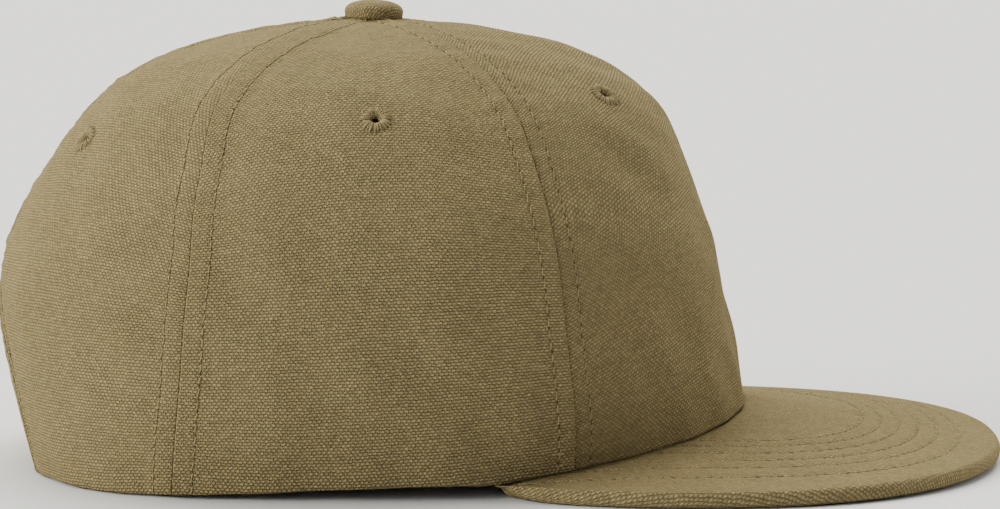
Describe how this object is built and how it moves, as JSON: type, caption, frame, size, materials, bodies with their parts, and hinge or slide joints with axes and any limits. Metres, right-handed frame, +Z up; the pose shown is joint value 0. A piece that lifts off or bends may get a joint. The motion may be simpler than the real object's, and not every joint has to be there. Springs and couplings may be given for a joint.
{
  "type": "five-panel cap",
  "caption": "Soft canvas cap with a rounded panelled crown, flat stitched brim, covered top button, stitched eyelets and a strap across the open arch at the back.",
  "frame": {"origin": "middle of the head opening, on the plane that the cap rests on", "axes": "+Z up through the button, -Y to the front of the brim, -X to the wearer's right"},
  "size_m": [0.187, 0.2683, 0.1221],
  "materials": {
    "front_panel": "plain-weave cotton duck",
    "side_panel_right": "plain-weave cotton duck",
    "side_panel_left": "plain-weave cotton duck",
    "back_panel_right": "plain-weave cotton duck",
    "back_panel_left": "plain-weave cotton duck",
    "brim": "plain-weave cotton duck over a stiff board",
    "top_button": "cotton duck stretched over a button",
    "eyelet_front_right": "thread, worked as a ring",
    "eyelet_front_left": "thread, worked as a ring",
    "eyelet_side_right": "thread, worked as a ring",
    "eyelet_side_left": "thread, worked as a ring",
    "eyelet_back_right": "thread, worked as a ring",
    "eyelet_back_left": "thread, worked as a ring",
    "back_strap": "folded cotton duck",
    "strap_slide": "dull aged brass"
  },
  "bodies": {
    "root": {"front_panel": "front_panel", "side_panel_right": "side_panel_right", "side_panel_left": "side_panel_left", "back_panel_right": "back_panel_right", "back_panel_left": "back_panel_left", "brim": "brim", "top_button": "top_button", "eyelet_front_right": "eyelet_front_right", "eyelet_front_left": "eyelet_front_left", "eyelet_side_right": "eyelet_side_right", "eyelet_side_left": "eyelet_side_left", "eyelet_back_right": "eyelet_back_right", "eyelet_back_left": "eyelet_back_left", "back_strap": "back_strap", "strap_slide": "strap_slide"}
  },
  "joints": []
}
